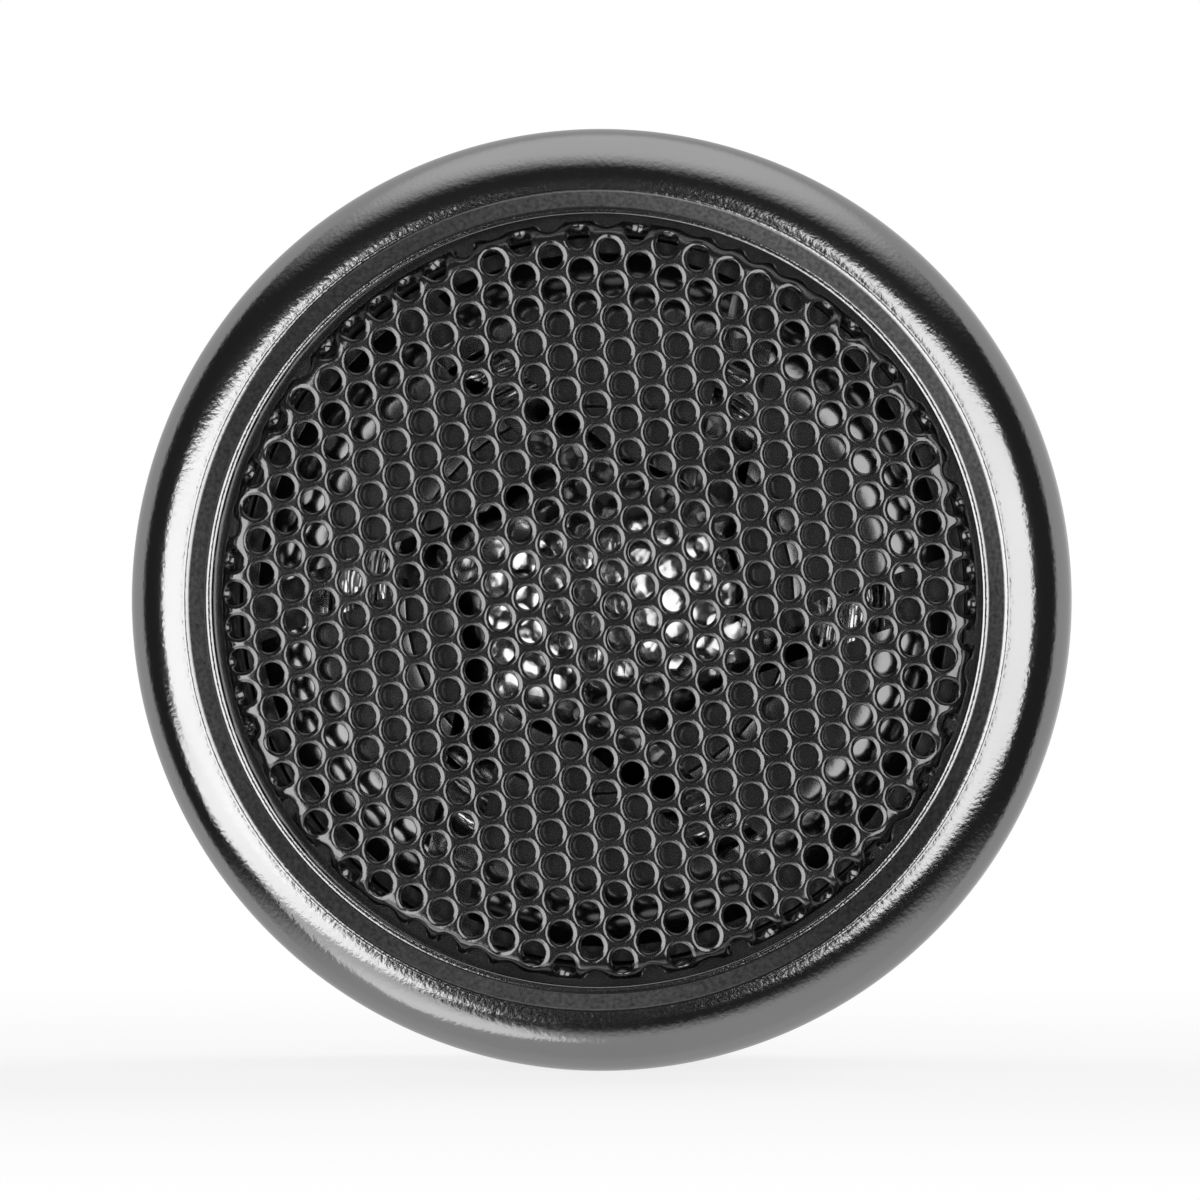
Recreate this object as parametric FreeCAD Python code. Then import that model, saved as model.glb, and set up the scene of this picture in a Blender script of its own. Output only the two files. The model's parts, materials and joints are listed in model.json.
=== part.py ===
import FreeCAD, Part
import math
import os

# Flush-mounted car tweeter, in millimetres.
# Every piece is drawn in a working frame: X to the right, Y up, Z towards the listener,
# with Z = 0 on the panel that the flange presses against.  export() turns that frame so
# that the finished part faces -Y with +Z up.

Vector = FreeCAD.Vector
ORIGIN = Vector(0, 0, 0)
AXIS = Vector(0, 0, 1)
RIGHT = Vector(1, 0, 0)
QUARTER = 90.0
FULL = 360.0
CLOSE_PACKED = 60.0    # between the rows of the grille's holes
OVERRUN = 1.0          # how far a cutting body passes the surface that it cuts
SAME_PLACE = 0.01      # two heights closer than this are the same

# --- Clearances ---------------------------------------------------------------------
slip = 0.05            # between rigid pieces that drop into one another
thread_gap = 0.03      # around the shank of a screw or rivet in its hole
service_gap = 0.3      # between pieces that must never touch

# --- Flange, bezel and panel gasket ---------------------------------------------------
flange_width = 1.85        # beyond the barrel
flange_thickness = 1.0
bezel_mouth_gap = 0.3      # round the grille
bezel_chamfer_width = 1.06
bezel_chamfer_drop = 0.61  # fall from the crest to the mouth
bezel_crown = 2.4          # height of the rounded outer slope
bezel_mouth_round = 0.45
bezel_skirt = 0.95         # wall outside the flange
bezel_roof = 0.9           # wall over the moulded-out groove
bezel_land = 0.8           # wall between the groove and the grille rebate
gasket_thickness = 0.8
gasket_inner_margin = 0.85 # beyond the pilot
gasket_outer_margin = 0.3  # inside the bezel's edge

# --- Grille ----------------------------------------------------------------------------
grille_sheet = 0.5
grille_rise = 1.0          # top of the flat above the top of the grille's own flange
grille_ledge = 0.1         # seat left on the flange inside the grille's bent edge
grille_bend = 0.9
grille_flange_width = 1.3
hole_pitch = 1.5
hole_radius = 0.53
hole_row_angle = 35.8      # degrees from the X axis
hole_shift_x = -0.53
hole_shift_y = 0.37
hole_edge_margin = 0.02

# --- Petal guard -----------------------------------------------------------------------
guard_gap = 0.7            # below the grille
petal_count = 6
petal_thickness = 0.8
petal_mouth_radius = 6.4
petal_step_radius = 8.65
petal_step_depth = 0.15
petal_slot_width = 2.2
petal_slot_offset = 4.3    # from the axis to the middle of a slot
petal_slot_angle = 79.0
guard_wall = 2.25          # round the surround's ring
guard_foot_width = 0.75    # flat outside the shoulder
guard_shoulder_width = 3.2
guard_shoulder_drop = 1.8
guard_rim_cover = 0.35     # of the film's rim, pressed by the guard
guard_inner_round = 1.2

# --- Diaphragm and voice coil ----------------------------------------------------------
dome_radius = 10.0
dome_height = 3.2
dome_sink = 0.35           # crown below the guard's face
film = 0.15
surround_roll = 1.1
surround_seat = 0.35       # flat strip each side of the roll
surround_rim = 1.2         # flat rim glued to the ring
ring_thickness = 0.6
ring_margin = 0.2          # ring beyond the rim, inside and outside
former_wall = 0.1
former_below_coil = 0.2
coil_depth = 0.2
coil_length = 1.6
coil_wire = 0.12
coil_lead_bend = 0.7
coil_lead_start = 0.4      # above the middle of the winding

# --- Motor ------------------------------------------------------------------------------
pole_gap = 0.3             # pole plate to former
yoke_gap = 0.3             # winding to yoke
pole_thickness = 2.0
magnet_thickness = 3.0
magnet_margin = 0.85       # inside the pole plate's edge
magnet_edge = 0.2
yoke_wall = 2.0
yoke_floor = 2.0
yoke_round = 0.5
pad_margin = 1.6           # inside the pole plate's edge
pad_thickness = 1.4
frame_lip = 1.2            # of the motor frame, above the yoke's rim
frame_lip_width = 1.5      # of the yoke's rim that the lip covers
frame_thickness = 2.4
tag_thickness = 0.25
tag_width = 1.6
tag_pad = 0.9
tag_tail = 2.6             # below the housing's shelf

# --- Housing ----------------------------------------------------------------------------
barrel_wall = 1.9
pilot_step = 0.25          # pilot ring's radius beyond the barrel's
pilot_length = 2.0         # behind the flange
shelf_thickness = 1.2
cover_thickness = 1.5
cover_round = 0.5
boss_radius = 1.7
boss_height = 5.5
boss_inset = 1.9           # from the barrel's inner wall to a boss's centre
screw_count = 3
screw_start_angle = 30.0
screw_cross_width = 0.3
screw_cross_depth = 0.4
screw_cross_share = 0.6    # of the head's radius
cover_screw_radius = 0.8
cover_screw_head_radius = 1.5
cover_screw_head = 0.8
cover_screw_grip = 4.0     # thread length in the boss
cover_screw_recess = 0.6
frame_screw_radius = 0.6
frame_screw_head_radius = 1.1
frame_screw_head = 0.7
frame_screw_inset = 1.25   # from the guard's edge
frame_screw_start_angle = 90.0
frame_screw_grip = 1.8     # thread length in the guard

# --- Panel clips ------------------------------------------------------------------------
clip_count = 3
clip_start_angle = 90.0
clip_sheet = 0.4
clip_width = 4.0
clip_channel_depth = 1.2   # flat-bottomed channel in the barrel
clip_bulge = 1.1           # beyond the barrel
clip_tip = 0.2             # beyond the barrel
clip_tip_height = -1.6
clip_bulge_height = -4.4
clip_straight = 2.0        # leaf beside the barrel before it flares out
clip_foot_bend = 0.6
clip_root_bend = 2.8
clip_leaf_bend = 0.7
clip_toe = 1.2
clip_side_gap = 0.4
clip_swing_gap = 0.3       # between the foot or leaf and the barrel
clip_window_height = 3.0

# --- Crossover and terminals ---------------------------------------------------------------
board_gap = 0.9            # between the board and the bosses
board_thickness = 1.0
capacitor_radius = 2.5
capacitor_length = 11.0
capacitor_round = 0.4
capacitor_gap = 0.8        # between the capacitor and the yoke
capacitor_y = 4.2
capacitor_leg = 0.5
capacitor_leg_reach = 1.6
capacitor_leg_bend = 1.0
terminal_sheet = 0.8
terminal_length = 6.3
terminal_foot = 5.0
terminal_x = 5.2
terminal_y = -4.0
positive_width = 4.8
negative_width = 2.8
terminal_hole_radius = 0.6
terminal_tip = 0.28
rivet_radius = 1.0
rivet_bore_radius = 0.5
rivet_head_radius = 1.7
rivet_head = 0.4
lead_diameter = 1.0
lead_core_gap = 0.02
lead_bend = 5.0
lead_pad_inset = 1.4       # from the board's edge
lead_tag_lap = 0.87        # start of a lead below the shelf, beside its tag

# --- Heights worked out from the sizes above --------------------------------------------------
flange_back = gasket_thickness
flange_top = flange_back + flange_thickness
grille_flange_top = flange_top + grille_sheet
grille_top = grille_flange_top + grille_rise
crest_height = flange_top + bezel_crown
mouth_height = crest_height - bezel_chamfer_drop
guard_top = grille_top - grille_sheet - guard_gap
petal_back = guard_top - petal_thickness
guard_foot_top = guard_top - guard_shoulder_drop
dome_crown = guard_top - dome_sink
film_back = dome_crown - film - dome_height
ring_back = film_back - ring_thickness
yoke_rim = ring_back - frame_lip
frame_back = ring_back - frame_thickness
shelf_back = frame_back - shelf_thickness
pole_back = yoke_rim - pole_thickness
magnet_back = pole_back - magnet_thickness
yoke_back = magnet_back - yoke_floor
cover_front = yoke_back - capacitor_gap - 2 * capacitor_radius - board_thickness
cover_back = cover_front - cover_thickness
board_front = cover_front + board_thickness

# --- Radii worked out from the sizes above, from the middle outwards ------------------------------
former_outer_radius = dome_radius
former_inner_radius = former_outer_radius - former_wall
coil_outer_radius = former_outer_radius + coil_depth
pole_radius = former_inner_radius - pole_gap
magnet_radius = pole_radius - magnet_margin
pad_radius = pole_radius - pad_margin
yoke_inner_radius = coil_outer_radius + yoke_gap
yoke_radius = yoke_inner_radius + yoke_wall
roll_start_radius = dome_radius + surround_seat
roll_end_radius = roll_start_radius + 2 * surround_roll
rim_radius = roll_end_radius + surround_rim
ring_inner_radius = roll_end_radius - ring_margin
ring_radius = rim_radius + ring_margin
frame_lip_radius = yoke_radius - frame_lip_width
shelf_inner_radius = yoke_radius + service_gap
tag_radius = shelf_inner_radius + slip
guard_inner_radius = rim_radius - guard_rim_cover
guard_radius = ring_radius + slip + guard_wall
guard_shoulder_end = guard_radius - guard_foot_width
guard_shoulder_start = guard_shoulder_end - guard_shoulder_width
frame_screw_centre_radius = guard_radius - frame_screw_inset
barrel_inner_radius = guard_radius + slip
barrel_radius = barrel_inner_radius + barrel_wall
pilot_radius = barrel_radius + pilot_step
boss_centre_radius = barrel_inner_radius - boss_inset
board_radius = boss_centre_radius - boss_radius - board_gap
lead_pad_radius = board_radius - lead_pad_inset
channel_floor = barrel_radius - clip_channel_depth
clip_bulge_radius = barrel_radius + clip_bulge
clip_tip_radius = barrel_radius + clip_tip
grille_radius = barrel_inner_radius + grille_ledge + grille_sheet
grille_flange_radius = grille_radius + grille_flange_width
bezel_mouth_radius = grille_radius + bezel_mouth_gap
bezel_crest_radius = bezel_mouth_radius + bezel_chamfer_width
flange_radius = barrel_radius + flange_width
bezel_radius = flange_radius + bezel_skirt
gasket_inner_radius = pilot_radius + gasket_inner_margin
gasket_outer_radius = bezel_radius - gasket_outer_margin
coil_middle = yoke_rim - pole_thickness / 2


# --- Small helpers -------------------------------------------------------------------------------
def outward(shape):
    """The same solid with its faces turned outwards."""
    solid = shape.Solids[0] if len(shape.Solids) == 1 else shape
    return solid if solid.Volume > 0 else solid.reversed()


def polar(radius, angle, height=0.0):
    """A point given by its radius, its angle in degrees and its height."""
    turn = math.radians(angle)
    return Vector(radius * math.cos(turn), radius * math.sin(turn), height)


def disc(radius, low, high, x=0.0, y=0.0):
    """A plain cylinder along the axis, between two heights."""
    return Part.makeCylinder(radius, high - low, Vector(x, y, low), AXIS)


def tube(inner, outer, low, high):
    """A ring of rectangular section."""
    return disc(outer, low, high).cut(disc(inner, low, high))


def block(x_low, x_high, y_low, y_high, low, high):
    """A rectangular block between two corners."""
    size = Vector(x_high - x_low, y_high - y_low, high - low)
    return Part.makeBox(size.x, size.y, size.z, Vector(x_low, y_low, low))


def turned(shape, angle):
    """A copy of shape turned about the axis."""
    copy = shape.copy()
    copy.rotate(ORIGIN, AXIS, angle)
    return copy


def around(shape, count, start):
    """Equal copies of shape spaced about the axis, as a list."""
    return [turned(shape, start + FULL * k / count) for k in range(count)]


def edges_at(shape, height):
    """The edges of a shape whose highest point lies at a height."""
    return [e for e in shape.Edges if abs(e.BoundBox.ZMax - height) < SAME_PLACE]


def lines(points):
    """Straight edges joining (radius, height) points in order."""
    ends = [Vector(a, b, 0) for a, b in points]
    return [Part.makeLine(p, q) for p, q in zip(ends, ends[1:])]


def quarter_ellipse(centre_r, centre_h, across, high):
    """Edge from (centre_r + across, centre_h) up to (centre_r, centre_h + high)."""
    if across >= high:
        curve = Part.Ellipse(Vector(centre_r, centre_h, 0), across, high)
        return Part.ArcOfEllipse(curve, 0, math.pi / 2).toShape()
    side = Vector(centre_r + across, centre_h, 0)
    top = Vector(centre_r, centre_h + high, 0)
    curve = Part.Ellipse(top, side, Vector(centre_r, centre_h, 0))
    return Part.ArcOfEllipse(curve, -math.pi / 2, 0).toShape()


def three_point_arc(start, middle, end):
    """Circular arc through three (radius, height) points."""
    return Part.Arc(Vector(*start, 0), Vector(*middle, 0), Vector(*end, 0)).toShape()


def corner_arc(centre, radius, start_angle, end_angle):
    """Circular arc about a (radius, height) centre, between two angles in degrees."""
    spots = []
    for angle in (start_angle, (start_angle + end_angle) / 2, end_angle):
        turn = math.radians(angle)
        spots.append((centre[0] + radius * math.cos(turn), centre[1] + radius * math.sin(turn)))
    return three_point_arc(*spots)


def lathe(edges):
    """Solid of revolution of a closed (radius, height) outline."""
    face = Part.Face(Part.Wire(Part.__sortEdges__(edges)))
    face.rotate(ORIGIN, RIGHT, QUARTER)
    return outward(face.revolve(ORIGIN, AXIS, FULL))


def rounded_path(points, bends):
    """Straight runs through 3-D points, each corner replaced by a tangent arc.

    bends holds the radius of each inner corner.  It is limited so that an arc never
    takes more than 0.45 of the shorter run beside it.
    """
    edges = []
    start = points[0]
    for before, corner, after, bend in zip(points, points[1:], points[2:], bends):
        back = (before - corner).normalize()
        ahead = (after - corner).normalize()
        half = back.getAngle(ahead) / 2
        room = 0.45 * min((before - corner).Length, (after - corner).Length)
        reach = min(bend / math.tan(half), room)
        radius = reach * math.tan(half)
        middle = (back + ahead).normalize()
        centre = corner + middle * (radius / math.sin(half))
        arc_start = corner + back * reach
        arc_end = corner + ahead * reach
        edges.append(Part.makeLine(start, arc_start))
        edges.append(Part.Arc(arc_start, centre - middle * radius, arc_end).toShape())
        start = arc_end
    edges.append(Part.makeLine(start, points[-1]))
    return Part.Wire(edges)


def wire_solid(points, bends, diameter):
    """Round wire or lead along a rounded path."""
    path = rounded_path(points, bends)
    ahead = (points[1] - points[0]).normalize()
    section = Part.Wire(Part.makeCircle(diameter / 2, points[0], ahead))
    return outward(path.makePipeShell([section], True, False))


def strip(points, bends, thickness, width):
    """Bent flat strip: a (radius, height) path thickened to its right and given a width."""
    path = rounded_path([Vector(r, h, 0) for r, h in points], bends)
    face = path.makeOffset2D(thickness, 0, True, True, False)
    solid = face.extrude(Vector(0, 0, width))
    solid.translate(Vector(0, 0, -width / 2))
    solid.rotate(ORIGIN, RIGHT, QUARTER)
    return outward(solid)


def pan_screw(radius, length, head_radius, head_height):
    """Cross-head screw: its head lies below the plane Z = 0 and its shank stands up from it."""
    shank = disc(radius, 0, length)
    head = lathe(
        lines([(0, 0), (head_radius, 0)])
        + [quarter_ellipse_down(head_radius, head_height)]
        + lines([(0, -head_height), (0, 0)])
    )
    arm = head_radius * screw_cross_share
    half = screw_cross_width / 2
    low = -head_height
    high = low + screw_cross_depth
    cross = block(-arm, arm, -half, half, low, high).fuse(block(-half, half, -arm, arm, low, high))
    return outward(shank.fuse(head).removeSplitter().cut(cross))


def quarter_ellipse_down(across, deep):
    """Edge from (across, 0) down to (0, -deep)."""
    edge = quarter_ellipse(0, 0, across, deep)
    edge.rotate(ORIGIN, RIGHT, 2 * QUARTER)
    return edge


def export(name, shape):
    """Turn the working frame into the part's own frame and write the node."""
    placed = shape.copy()
    placed.rotate(ORIGIN, RIGHT, QUARTER)
    placed.exportStep("parts/" + name + ".step")
    print(name, "solids", len(placed.Solids), "valid", placed.isValid(), "mm3", round(placed.Volume, 3))


# --- Front ---------------------------------------------------------------------------------------
def front_bezel():
    """Plated ring: rounded outer slope, crest, inner chamfer, skirt over the flange."""
    rebate = grille_flange_radius + slip
    skirt = flange_radius + slip
    groove_top = flange_top + bezel_roof
    slope = bezel_radius - bezel_crest_radius
    chamfer = math.atan2(bezel_chamfer_drop, bezel_crest_radius - bezel_mouth_radius)
    trim = bezel_mouth_round * math.tan((math.pi / 2 - chamfer) / 2)
    chamfer_end = (
        bezel_mouth_radius + trim * math.cos(chamfer),
        mouth_height + trim * math.sin(chamfer),
    )
    wall_end = (bezel_mouth_radius, mouth_height - trim)
    centre = (bezel_mouth_radius + bezel_mouth_round, mouth_height - trim)
    edges = lines([(skirt, flange_back), (bezel_radius, flange_back), (bezel_radius, flange_top)])
    edges.append(quarter_ellipse(bezel_crest_radius, flange_top, slope, bezel_crown))
    edges += lines([(bezel_crest_radius, crest_height), chamfer_end])
    edges.append(corner_arc(centre, bezel_mouth_round, QUARTER + math.degrees(chamfer), 2 * QUARTER))
    edges += lines(
        [
            wall_end,
            (bezel_mouth_radius, grille_flange_top),
            (rebate, grille_flange_top),
            (rebate, flange_top),
            (rebate + bezel_land, flange_top),
            (rebate + bezel_land, groove_top),
            (skirt, groove_top),
            (skirt, flange_back),
        ]
    )
    return lathe(edges)


def hole_centres(smallest, largest):
    """Centres of the grille's close-packed holes whose radius from the axis is in a range."""
    spots = []
    reach = int(largest / hole_pitch) + 3
    across = polar(hole_pitch, hole_row_angle)
    along = polar(hole_pitch, hole_row_angle + CLOSE_PACKED)
    for i in range(-2 * reach, 2 * reach + 1):
        for j in range(-2 * reach, 2 * reach + 1):
            spot = Vector(hole_shift_x, hole_shift_y, 0) + across * i + along * j
            if smallest <= spot.Length < largest:
                spots.append(spot)
    return spots


def grille():
    """Perforated steel sheet: flat face, bent edge and a flange trapped under the bezel."""
    flat_radius = grille_radius - grille_bend
    inner_bend = grille_bend - grille_sheet
    bend_centre = (flat_radius, grille_top - grille_bend)
    inner_radius = grille_radius - grille_sheet
    face_back = grille_top - grille_sheet
    split = flat_radius - hole_radius - hole_edge_margin
    edges = lines([(split, grille_top), (flat_radius, grille_top)])
    edges.append(corner_arc(bend_centre, grille_bend, QUARTER, 0))
    edges += lines(
        [
            (grille_radius, bend_centre[1]),
            (grille_radius, grille_flange_top),
            (grille_flange_radius, grille_flange_top),
            (grille_flange_radius, flange_top),
            (inner_radius, flange_top),
            (inner_radius, bend_centre[1]),
        ]
    )
    edges.append(corner_arc(bend_centre, inner_bend, 0, QUARTER))
    edges += lines([(flat_radius, face_back), (split, face_back), (split, grille_top)])
    rim = lathe(edges)
    rim_holes = hole_centres(split - hole_radius, grille_radius - hole_radius - hole_edge_margin)
    drill = disc(hole_radius, face_back - grille_sheet, grille_top + OVERRUN)
    drills = [drill.translated(p) for p in rim_holes]
    rim = rim.cut(drills)
    outline = Part.Wire(Part.makeCircle(split, Vector(0, 0, face_back), AXIS))
    whole = hole_centres(0, split - hole_radius)
    rings = [
        Part.Wire(Part.makeCircle(hole_radius, Vector(p.x, p.y, face_back), AXIS)) for p in whole
    ]
    face = Part.makeFace([outline] + rings, "Part::FaceMakerBullseye")
    sheet = face.extrude(Vector(0, 0, grille_sheet))
    sheet = sheet.cut(drills)
    return outward(sheet.fuse(rim).removeSplitter())


def petal_guard():
    """Black moulding over the diaphragm: six petals parted by off-centre straight slots."""
    across = guard_shoulder_end - guard_shoulder_start
    cavity_top = petal_back - guard_inner_round
    round_start = guard_inner_radius - guard_inner_round
    edges = lines([(0, ring_back), (0, guard_top), (guard_shoulder_start, guard_top)])
    edges.append(quarter_ellipse(guard_shoulder_start, guard_foot_top, across, guard_shoulder_drop))
    edges += lines(
        [
            (guard_shoulder_end, guard_foot_top),
            (guard_radius, guard_foot_top),
            (guard_radius, ring_back),
            (0, ring_back),
        ]
    )
    body = lathe(edges)
    hollow = lines([(0, ring_back), (0, petal_back), (round_start, petal_back)])
    hollow.append(quarter_ellipse(round_start, cavity_top, guard_inner_round, guard_inner_round))
    hollow += lines(
        [
            (guard_inner_radius, cavity_top),
            (guard_inner_radius, film_back + film),
            (ring_radius + slip, film_back + film),
            (ring_radius + slip, ring_back),
            (0, ring_back),
        ]
    )
    slot_top = guard_top + OVERRUN
    slot_low = petal_slot_offset - petal_slot_width / 2
    slot_high = petal_slot_offset + petal_slot_width / 2
    slot = block(0, guard_radius, -slot_high, -slot_low, guard_foot_top, slot_top)
    slot = slot.common(disc(guard_shoulder_end, guard_foot_top, slot_top))
    slots = around(slot, petal_count, petal_slot_angle)
    mouth = disc(petal_mouth_radius, petal_back - OVERRUN, slot_top)
    step = disc(petal_step_radius, guard_top - petal_step_depth, slot_top)
    thread = disc(frame_screw_radius + thread_gap, ring_back, ring_back + frame_screw_grip + thread_gap)
    thread.translate(Vector(frame_screw_centre_radius, 0, 0))
    threads = around(thread, screw_count, frame_screw_start_angle)
    return outward(body.cut([lathe(hollow), mouth, step] + slots + threads))


def flange_gasket():
    """Foam ring between the flange and the panel."""
    return tube(gasket_inner_radius, gasket_outer_radius, 0, flange_back)


# --- Diaphragm and coil -----------------------------------------------------------------------------
def dome():
    """Spherical cap with a narrow flat seat for the surround."""
    sphere = (dome_radius ** 2 + dome_height ** 2) / (2 * dome_height)
    centre = film_back + dome_height - sphere
    mid_radius = dome_radius / 2
    low_mid = centre + math.sqrt(sphere ** 2 - mid_radius ** 2)
    seat = roll_start_radius - slip
    outer_low = film_back + film
    edges = [three_point_arc((0, film_back + dome_height), (mid_radius, low_mid), (dome_radius, film_back))]
    edges += lines([(dome_radius, film_back), (seat, film_back), (seat, outer_low)])
    edges += lines([(seat, outer_low), (dome_radius, outer_low)])
    edges.append(
        three_point_arc(
            (dome_radius, outer_low), (mid_radius, low_mid + film), (0, film_back + dome_height + film)
        )
    )
    edges += lines([(0, film_back + dome_height + film), (0, film_back + dome_height)])
    return lathe(edges)


def surround():
    """Half-roll film from the dome's edge to the flat rim glued on its ring."""
    middle = roll_start_radius + surround_roll
    top = film_back + film
    inner_start = roll_start_radius + film
    inner_end = roll_end_radius - film
    edges = lines([(roll_start_radius, film_back), (roll_start_radius, top)])
    edges.append(
        three_point_arc(
            (roll_start_radius, top), (middle, top + surround_roll), (roll_end_radius, top)
        )
    )
    edges += lines([(roll_end_radius, top), (rim_radius, top), (rim_radius, film_back)])
    edges += lines([(rim_radius, film_back), (inner_end, film_back), (inner_end, top)])
    edges.append(
        three_point_arc(
            (inner_end, top), (middle, top + surround_roll - film), (inner_start, top)
        )
    )
    edges += lines([(inner_start, top), (inner_start, film_back), (roll_start_radius, film_back)])
    return lathe(edges)


def surround_ring():
    """Stiff ring under the rim, notched where the coil's tags stand."""
    ring = tube(ring_inner_radius, ring_radius, ring_back, film_back)
    half = tag_width / 2 + service_gap
    notch_end = tag_radius + tag_thickness + service_gap
    notch = block(ring_inner_radius - OVERRUN, notch_end, -half, half, ring_back, film_back)
    return outward(ring.cut(around(notch, 2, 0)))


def coil_former():
    """Thin tube that carries the winding."""
    low = coil_middle - coil_length / 2 - former_below_coil
    return tube(former_inner_radius, former_outer_radius, low, film_back)


def voice_coil():
    """Winding, as one closed ring of wire."""
    low = coil_middle - coil_length / 2
    return tube(former_outer_radius, coil_outer_radius, low, low + coil_length)


def coil_lead():
    """Wire from the winding up the former and across to the tag."""
    radius = coil_wire / 2
    low = coil_middle + coil_lead_start
    stand = coil_outer_radius + radius
    level = ring_back + tag_thickness + radius
    end = tag_radius + tag_thickness / 2
    route = [Vector(stand, 0, low), Vector(stand, 0, level), Vector(end, 0, level)]
    return wire_solid(route, [coil_lead_bend], coil_wire)


def coil_tag():
    """Solder tag: a pad on the motor frame and a tail through the frame and the shelf."""
    half = tag_width / 2
    outer = tag_radius + tag_thickness
    tail = block(tag_radius, outer, -half, half, shelf_back - tag_tail, ring_back)
    pad = block(tag_radius - tag_pad, outer, -half, half, ring_back, ring_back + tag_thickness)
    return outward(tail.fuse(pad).removeSplitter())


# --- Motor -----------------------------------------------------------------------------------------
def motor_frame():
    """Moulded ring that holds the yoke and carries the diaphragm's ring."""
    body = tube(frame_lip_radius, guard_radius, frame_back, ring_back)
    seat = disc(yoke_radius + slip, frame_back, yoke_rim)
    hole = disc(frame_screw_radius + thread_gap, frame_back, ring_back, frame_screw_centre_radius)
    holes = around(hole, screw_count, frame_screw_start_angle)
    slot = tag_slot(tag_radius - slip, frame_back, ring_back)
    return outward(body.cut([seat] + holes + around(slot, 2, 0)))


def tag_slot(inner, low, high):
    """Slot for a tag's tail, from an inner radius to just outside the tag."""
    half = tag_width / 2 + slip
    return block(inner, tag_radius + tag_thickness + slip, -half, half, low, high)


def pole_plate():
    """Steel disc on the magnet, inside the coil."""
    return disc(pole_radius, pole_back, yoke_rim)


def magnet():
    """Neodymium disc with eased edges."""
    body = disc(magnet_radius, magnet_back, pole_back)
    return outward(body.makeChamfer(magnet_edge, body.Edges))


def pot_yoke():
    """Steel cup around the coil."""
    body = disc(yoke_radius, yoke_back, yoke_rim).cut(disc(yoke_inner_radius, magnet_back, yoke_rim))
    return outward(body.makeFillet(yoke_round, edges_at(body, yoke_back)))


def damping_pad():
    """Felt disc under the dome."""
    return disc(pad_radius, yoke_rim, yoke_rim + pad_thickness)


# --- Housing ----------------------------------------------------------------------------------------
def clip_notch():
    """Notch in the barrel's rear rim that a clip's foot lies in."""
    half = clip_width / 2 + clip_side_gap
    top = cover_front + clip_sheet + 2 * clip_swing_gap
    return block(barrel_inner_radius - OVERRUN, barrel_radius + OVERRUN, -half, half, cover_front, top)


def clip_channel():
    """Flat-bottomed channel that a clip lies in, with a window under the clip's tip."""
    half = clip_width / 2 + clip_side_gap
    high = clip_tip_height + service_gap
    channel = block(channel_floor, barrel_radius + OVERRUN, -half, half, cover_front, high)
    inside = math.sqrt(barrel_inner_radius ** 2 - half ** 2)
    return channel.fuse(block(inside, barrel_radius, -half, half, high - clip_window_height, high))


def housing():
    """Barrel with its flange and pilot ring in front, a shelf for the motor and three screw bosses."""
    shell = tube(barrel_inner_radius, barrel_radius, cover_front, flange_top)
    flange = tube(barrel_inner_radius, flange_radius, flange_back, flange_top)
    pilot = tube(barrel_inner_radius, pilot_radius, flange_back - pilot_length, flange_back)
    shelf = tube(shelf_inner_radius, barrel_inner_radius, shelf_back, frame_back)
    boss = disc(boss_radius, cover_front, cover_front + boss_height, boss_centre_radius)
    web = block(boss_centre_radius, barrel_inner_radius + barrel_wall / 2, -boss_radius, boss_radius,
                cover_front, cover_front + boss_height)
    bosses = around(boss.fuse(web), screw_count, screw_start_angle)
    body = shell.fuse([flange, pilot, shelf] + bosses)
    depth = cover_screw_grip + thread_gap
    thread = disc(cover_screw_radius + thread_gap, cover_front, cover_front + depth, boss_centre_radius)
    passage = disc(frame_screw_radius + thread_gap, shelf_back, frame_back, frame_screw_centre_radius)
    cuts = around(thread, screw_count, screw_start_angle)
    cuts += around(passage, screw_count, frame_screw_start_angle)
    cuts += around(tag_slot(frame_lip_radius, shelf_back, frame_back), 2, 0)
    cuts += around(clip_notch(), clip_count, clip_start_angle)
    cuts += around(clip_channel(), clip_count, clip_start_angle)
    return outward(body.cut(cuts).removeSplitter())


def rear_cover():
    """Disc that closes the barrel and carries the terminals."""
    body = disc(barrel_radius, cover_back, cover_front)
    body = body.makeFillet(cover_round, edges_at(body, cover_back))
    seat = cover_back + cover_screw_recess
    head = disc(cover_screw_head_radius + slip, cover_back, seat, boss_centre_radius)
    hole = disc(cover_screw_radius + thread_gap, cover_back, cover_front, boss_centre_radius)
    cuts = around(head.fuse(hole), screw_count, screw_start_angle)
    cuts += rivet_holes(cover_back, cover_front)
    return outward(body.cut(cuts))


def frame_screws():
    """Screws from the rear through the shelf and frame into the guard."""
    length = shelf_thickness + frame_thickness + frame_screw_grip
    screw = pan_screw(frame_screw_radius, length, frame_screw_head_radius, frame_screw_head)
    screw.translate(Vector(frame_screw_centre_radius, 0, shelf_back))
    return Part.makeCompound(around(screw, screw_count, frame_screw_start_angle))


def cover_screws():
    """Screws from the rear through the cover into the bosses."""
    length = cover_thickness - cover_screw_recess + cover_screw_grip
    screw = pan_screw(cover_screw_radius, length, cover_screw_head_radius, cover_screw_head)
    screw.translate(Vector(boss_centre_radius, 0, cover_back + cover_screw_recess))
    return Part.makeCompound(around(screw, screw_count, screw_start_angle))


def spring_clip():
    """Leaf with a foot trapped behind the barrel, a bulge behind the panel and a turned-in tip."""
    foot = cover_front + clip_swing_gap + clip_sheet
    toe = barrel_inner_radius - clip_swing_gap
    spine = channel_floor + clip_swing_gap
    route = [
        (toe, foot + clip_toe),
        (toe, foot),
        (spine, foot),
        (spine, foot + clip_straight),
        (clip_bulge_radius - clip_sheet, clip_bulge_height),
        (clip_tip_radius - clip_sheet, clip_tip_height),
    ]
    bends = [clip_foot_bend, clip_foot_bend, clip_root_bend, clip_leaf_bend]
    return strip(route, bends, clip_sheet, clip_width)


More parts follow.
